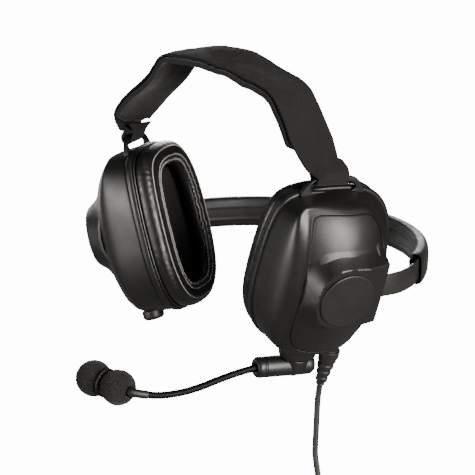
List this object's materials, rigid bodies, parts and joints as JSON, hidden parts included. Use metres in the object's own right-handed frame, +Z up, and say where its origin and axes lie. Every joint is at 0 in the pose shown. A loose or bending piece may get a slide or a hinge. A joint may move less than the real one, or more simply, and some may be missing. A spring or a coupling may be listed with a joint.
{
  "type": "radio headphones",
  "caption": "Behind-the-neck two-way-radio headset with closed ear cups, a sprung neckband, a head strap, a boom microphone and a cord with a plug.",
  "frame": {"origin": "under the middle of the head strap, where the crown of the head would hold it", "axes": "+Z up, the wearer looks along -Y, +X is the wearer's left, which is the side with the microphone boom"},
  "size_m": [0.2316, 0.2563, 0.4227],
  "materials": {
    "moulded_plastic": "satin black, fine moulded grain",
    "cap_plastic": "smooth satin black",
    "seal_vinyl": "soft glossy black vinyl",
    "foam": "open-cell black foam",
    "rubber": "black, smooth",
    "webbing": "black nylon webbing and brushed loop",
    "blackened_steel": "blackened",
    "steel": "plain",
    "circuit": "green solder mask",
    "plated_contact": "plated"
  },
  "bodies": {
    "headset": {"left_shell": "moulded_plastic", "left_cover": "moulded_plastic", "left_pivot_cap": "cap_plastic", "left_pivot_bush": "blackened_steel", "left_pivot_screw": "steel", "left_pivot_plate": "moulded_plastic", "left_baffle": "moulded_plastic", "left_seal_ring": "moulded_plastic", "left_ear_seal": "seal_vinyl", "left_acoustic_foam": "foam", "left_speaker": "blackened_steel", "left_speaker_clamp": "moulded_plastic", "left_strap_hanger": "moulded_plastic", "right_shell": "moulded_plastic", "right_cover": "moulded_plastic", "right_pivot_cap": "cap_plastic", "right_pivot_bush": "blackened_steel", "right_pivot_screw": "steel", "right_pivot_plate": "moulded_plastic", "right_baffle": "moulded_plastic", "right_seal_ring": "moulded_plastic", "right_ear_seal": "seal_vinyl", "right_acoustic_foam": "foam", "right_speaker": "blackened_steel", "right_speaker_clamp": "moulded_plastic", "right_strap_hanger": "moulded_plastic", "boom_block": "moulded_plastic", "boom_pivot_screw": "steel", "cable_relief": "rubber", "circuit_board": "circuit", "port_plug": "cap_plastic", "strap_webbing": "webbing", "strap_pad": "webbing", "cord": "rubber", "cord_hank": "rubber", "hank_tie": "rubber", "plug_grip": "rubber", "plug_contact": "plated_contact"},
    "neckband": {"band_spring": "blackened_steel", "band_sleeve": "rubber", "crossover_wire": "rubber"},
    "boom": {"boom_barrel": "moulded_plastic", "gooseneck_rear": "blackened_steel"},
    "mic": {"gooseneck_front": "blackened_steel", "mic_ferrule": "cap_plastic", "mic_capsule": "blackened_steel", "windscreen": "foam", "windscreen_ring": "rubber"}
  },
  "joints": [
    {"name": "neckband_tilt", "type": "hinge", "parent": "headset", "child": "neckband", "pos_m": [0, -0.00093, -0.12679], "axis": [1, 0, 0], "range_deg": [-13, 7]},
    {"name": "boom_swivel", "type": "hinge", "parent": "headset", "child": "boom", "pos_m": [0.05455, 0.00863, -0.18269], "axis": [0.2958, -0.0842, 0.9515], "range_deg": [-12, 95]},
    {"name": "gooseneck_bend", "type": "hinge", "parent": "boom", "child": "mic", "pos_m": [0.0302, -0.067, -0.19], "axis": [-0.9589, 0.2837, 0], "range_deg": [-25, 25]}
  ]
}
